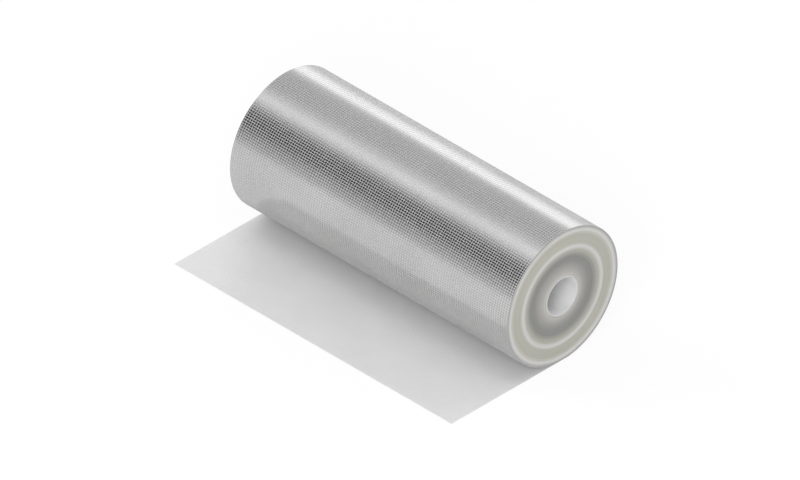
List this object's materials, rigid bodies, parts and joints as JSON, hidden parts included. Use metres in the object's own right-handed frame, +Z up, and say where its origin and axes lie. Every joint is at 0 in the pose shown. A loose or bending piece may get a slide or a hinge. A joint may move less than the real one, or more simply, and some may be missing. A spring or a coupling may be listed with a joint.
{
  "type": "aluminium foil roll",
  "caption": "Wide roll of embossed aluminium foil on a thin tube, lying with its first length drawn out flat on the floor.",
  "frame": {"origin": "on the floor, under the middle of the roll's axis, at the middle of the spot that the roll presses flat", "axes": "+X along the roll's axis, -Y the way the sheet is drawn out, +Z up"},
  "size_m": [0.3014, 0.18, 0.1197],
  "materials": {
    "foil": "bright embossed foil, a fine square grid of raised lines",
    "core": "smooth drawn aluminium, satin"
  },
  "bodies": {
    "root": {"foil_roll": "foil", "core_tube": "core"}
  },
  "joints": []
}
